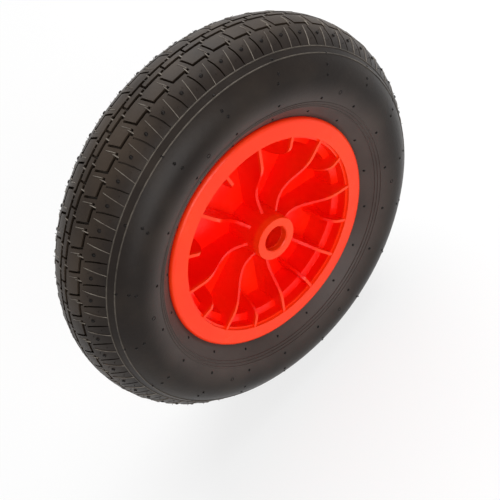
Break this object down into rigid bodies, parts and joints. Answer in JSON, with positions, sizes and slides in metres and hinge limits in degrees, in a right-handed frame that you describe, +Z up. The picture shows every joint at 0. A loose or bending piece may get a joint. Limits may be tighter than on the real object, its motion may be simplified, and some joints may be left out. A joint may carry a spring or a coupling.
{
  "type": "wheelbarrow wheel",
  "caption": "Pneumatic wheelbarrow wheel: treaded rubber tyre and inner tube with valve on a one-piece ribbed plastic rim with a plain centre bore.",
  "frame": {"origin": "centre of the wheel, on the bore's axis at its middle plane", "axes": "+Y along the hub bore, away from the face that the picture shows; +Z up as the wheel stands; +X to the right of that face"},
  "size_m": [0.39, 0.106, 0.39],
  "materials": {
    "rim_plastic": "moulded, semi-gloss",
    "tyre_rubber": "moulded rubber with a soft sheen",
    "tube_rubber": "smooth butyl rubber",
    "stem_rubber": "smooth rubber",
    "valve_brass": "turned",
    "core_brass": "turned",
    "gasket": "matt",
    "spring_steel": "drawn wire",
    "cap_plastic": "matt moulded"
  },
  "bodies": {
    "wheel": {"rim": "rim_plastic", "tyre": "tyre_rubber", "inner_tube": "tube_rubber", "valve_stem": "stem_rubber", "valve_insert": "valve_brass", "valve_core": "core_brass", "core_gasket": "gasket", "core_spring": "spring_steel"},
    "valve_pin": {"core_pin": "core_brass", "core_washer": "tube_rubber"},
    "cap": {"valve_cap": "cap_plastic"}
  },
  "joints": [
    {"name": "cap_off", "type": "slide", "parent": "wheel", "child": "cap", "axis": [0, 0, 1], "range_m": [0, 0.014]},
    {"name": "pin_press", "type": "slide", "parent": "wheel", "child": "valve_pin", "axis": [0, 0, -1], "range_m": [0, 0.0012], "stiffness_N_per_m": 500, "springref_m": -0.002, "deforming": ["core_spring"]}
  ]
}
